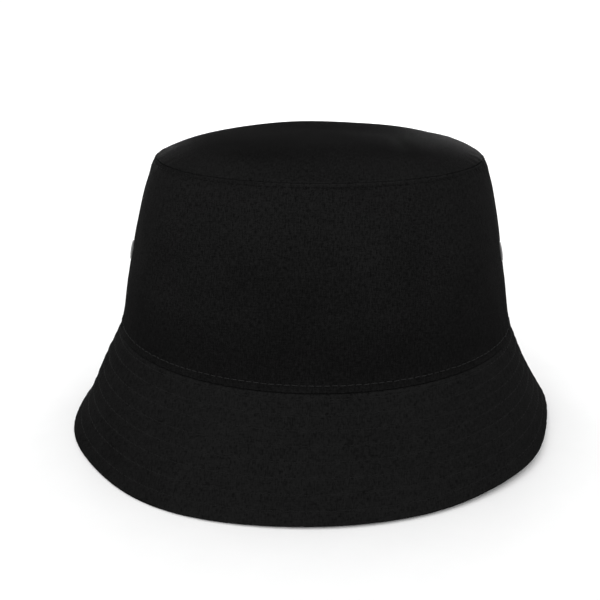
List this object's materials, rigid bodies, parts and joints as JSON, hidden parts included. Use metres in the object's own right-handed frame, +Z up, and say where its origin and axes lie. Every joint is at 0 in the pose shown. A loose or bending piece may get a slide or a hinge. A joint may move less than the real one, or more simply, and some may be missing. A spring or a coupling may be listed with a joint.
{
  "type": "bucket hat",
  "caption": "Soft cloth bucket hat with a domed tip, a tapered side crown with eyelets and a sloping stitched brim with a turned hem.",
  "frame": {"origin": "on the hat's axis, at the level of the hem that the hat rests on", "axes": "+Z up along the crown's axis to the tip, -Y towards the wearer's front, +X to the right as seen from in front of the hat"},
  "size_m": [0.2394, 0.2394, 0.138],
  "materials": {
    "hat_twill": "matte black cotton twill",
    "sweatband_twill": "matte black cotton twill strip",
    "seam_tape": "matte black woven tape",
    "stiffener": "plain non-woven interlining",
    "sewing_thread": "black polyester thread with a slight sheen",
    "eyelet_metal": "satin black enamel",
    "label_satin": "plain black satin tape"
  },
  "bodies": {
    "hat": {"crown_tip": "hat_twill", "side_crown_front": "hat_twill", "side_crown_rear": "hat_twill", "brim_upper_front": "hat_twill", "brim_upper_rear": "hat_twill", "brim_under_front": "hat_twill", "brim_under_rear": "hat_twill", "brim_stiffener_front": "stiffener", "brim_stiffener_rear": "stiffener", "sweatband": "sweatband_twill", "tip_seam_tape": "seam_tape", "side_seam_tape_left": "seam_tape", "side_seam_tape_right": "seam_tape", "eyelet_left_front": "eyelet_metal", "eyelet_left_rear": "eyelet_metal", "eyelet_right_front": "eyelet_metal", "eyelet_right_rear": "eyelet_metal", "eyelet_washer_left_front": "eyelet_metal", "eyelet_washer_left_rear": "eyelet_metal", "eyelet_washer_right_front": "eyelet_metal", "eyelet_washer_right_rear": "eyelet_metal", "tip_topstitch": "sewing_thread", "crown_base_topstitch": "sewing_thread", "sweatband_topstitch": "sewing_thread", "side_topstitch_left": "sewing_thread", "side_topstitch_right": "sewing_thread", "brim_stitch_row_1": "sewing_thread", "brim_stitch_row_2": "sewing_thread", "brim_stitch_row_3": "sewing_thread", "brim_stitch_row_4": "sewing_thread", "brim_stitch_row_5": "sewing_thread", "brim_stitch_row_6": "sewing_thread", "brim_stitch_row_7": "sewing_thread", "brim_stitch_row_8": "sewing_thread"},
    "care_label": {"care_label": "label_satin"}
  },
  "joints": [
    {"name": "care_label_flap", "type": "hinge", "parent": "hat", "child": "care_label", "pos_m": [0, 0.0778, 0.11418], "axis": [-1, 0, 0], "range_deg": [-8, 100]}
  ]
}
